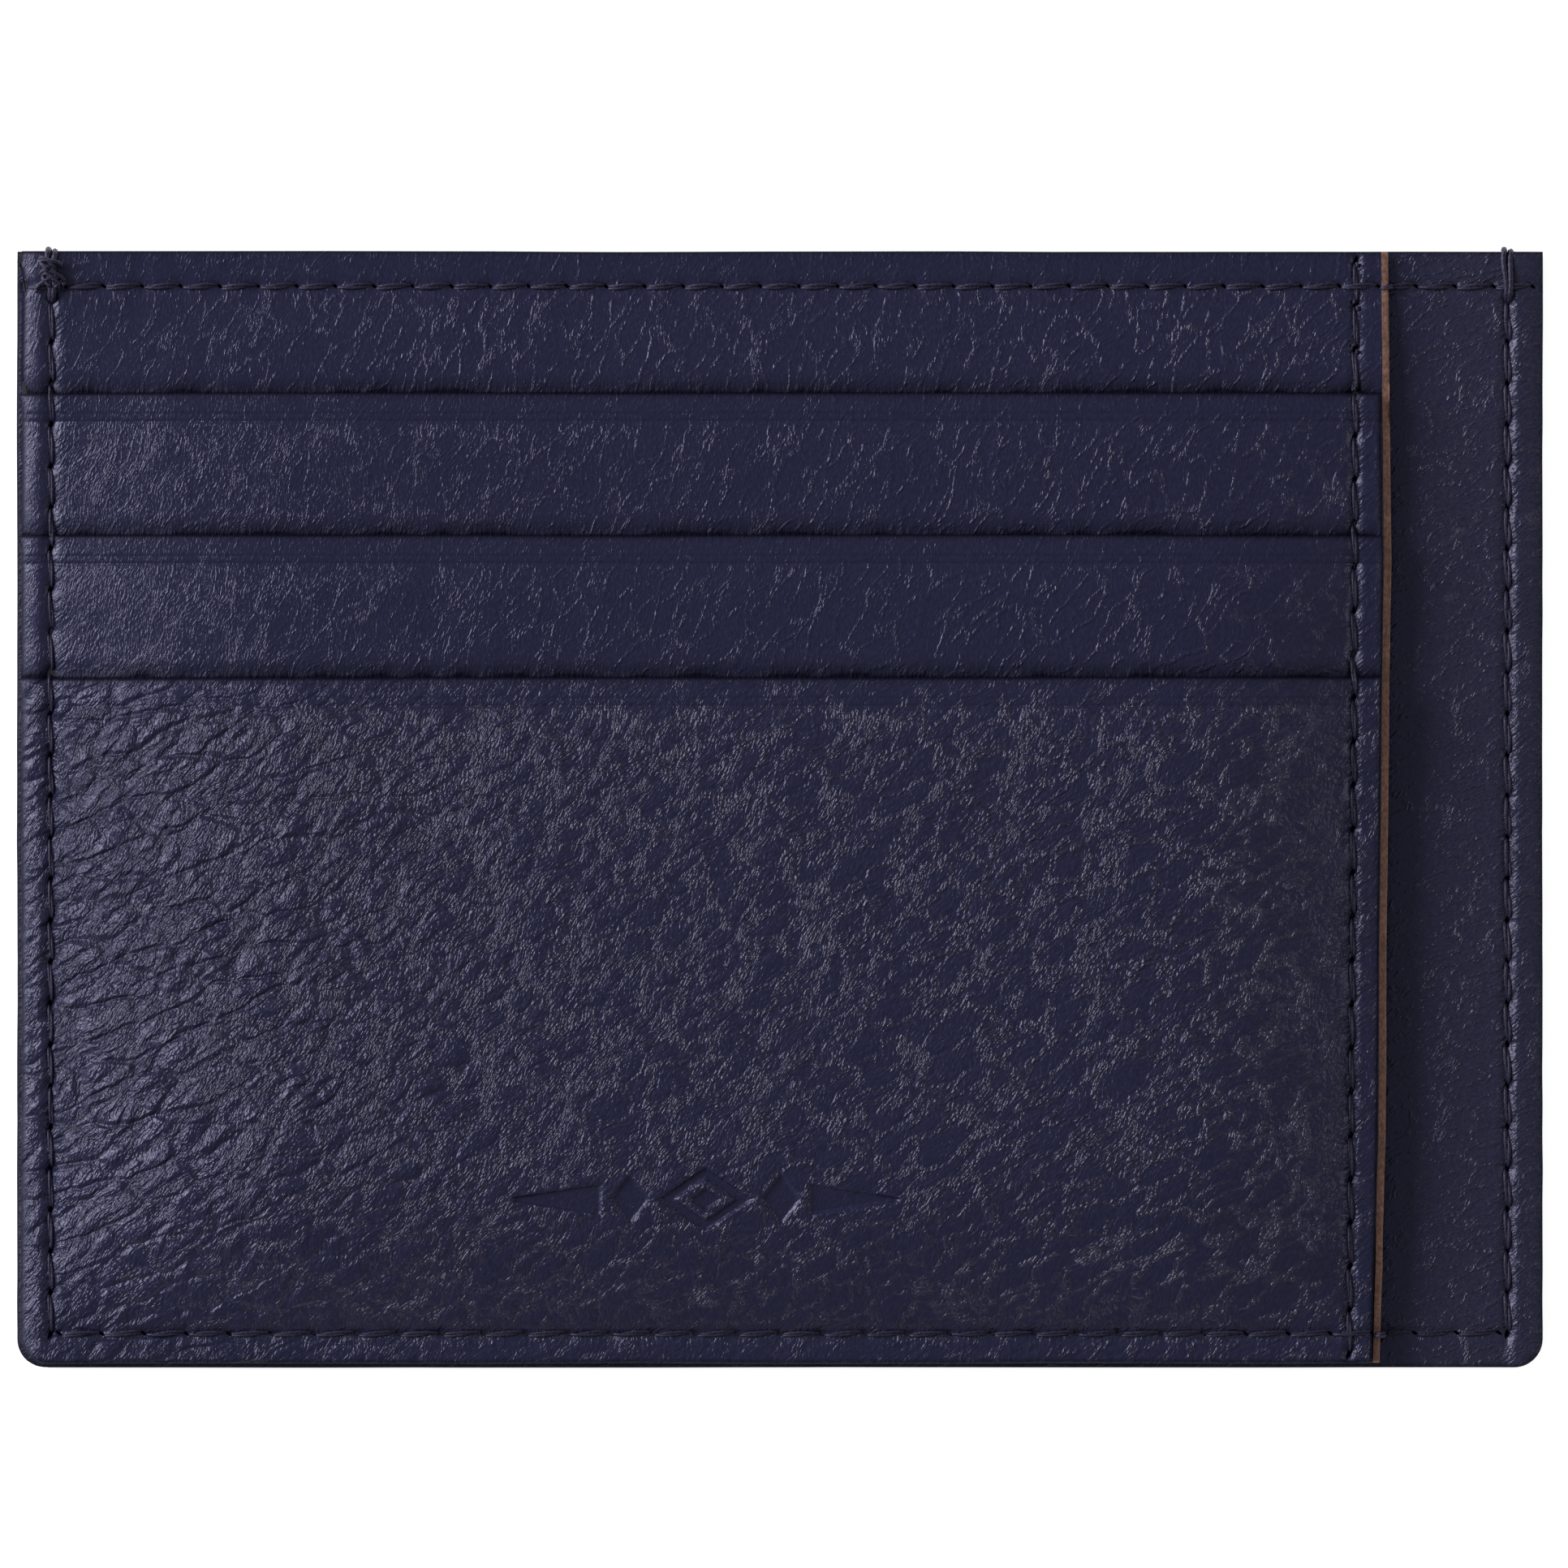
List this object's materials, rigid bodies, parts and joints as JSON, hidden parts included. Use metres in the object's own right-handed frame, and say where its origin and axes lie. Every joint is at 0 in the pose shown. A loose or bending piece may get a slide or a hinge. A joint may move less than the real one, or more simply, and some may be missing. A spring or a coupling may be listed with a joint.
{
  "type": "card holder",
  "caption": "Flat grained leather card holder with stepped card slots on the front and a slip pocket behind them that opens at the right side.",
  "frame": {"origin": "middle of the resting face, under the back panel", "axes": "+X to the right along the long side, +Y up the face towards the slot mouths' open side, +Z out of the front"},
  "size_m": [0.1072, 0.0788, 0.0067],
  "materials": {
    "leather": "pebble-grained navy, semi-gloss, with a brown cut edge",
    "lining": "fine plain weave, matt",
    "board": "fibre board, matt",
    "thread": "twisted polyester thread, dark navy"
  },
  "bodies": {
    "root": {"back_panel": "leather", "back_stiffener": "board", "inner_panel": "leather", "front_base": "leather", "card_slot_1": "leather", "card_slot_1_lining": "lining", "card_slot_2": "leather", "card_slot_2_lining": "lining", "front_pocket": "leather", "stitching_left": "thread", "stitching_right": "thread", "stitching_top": "thread", "stitching_bottom": "thread", "stitching_front": "thread", "lining_stitching_1": "thread", "lining_stitching_2": "thread", "thread_wrap_left": "thread", "thread_wrap_right": "thread"}
  },
  "joints": []
}
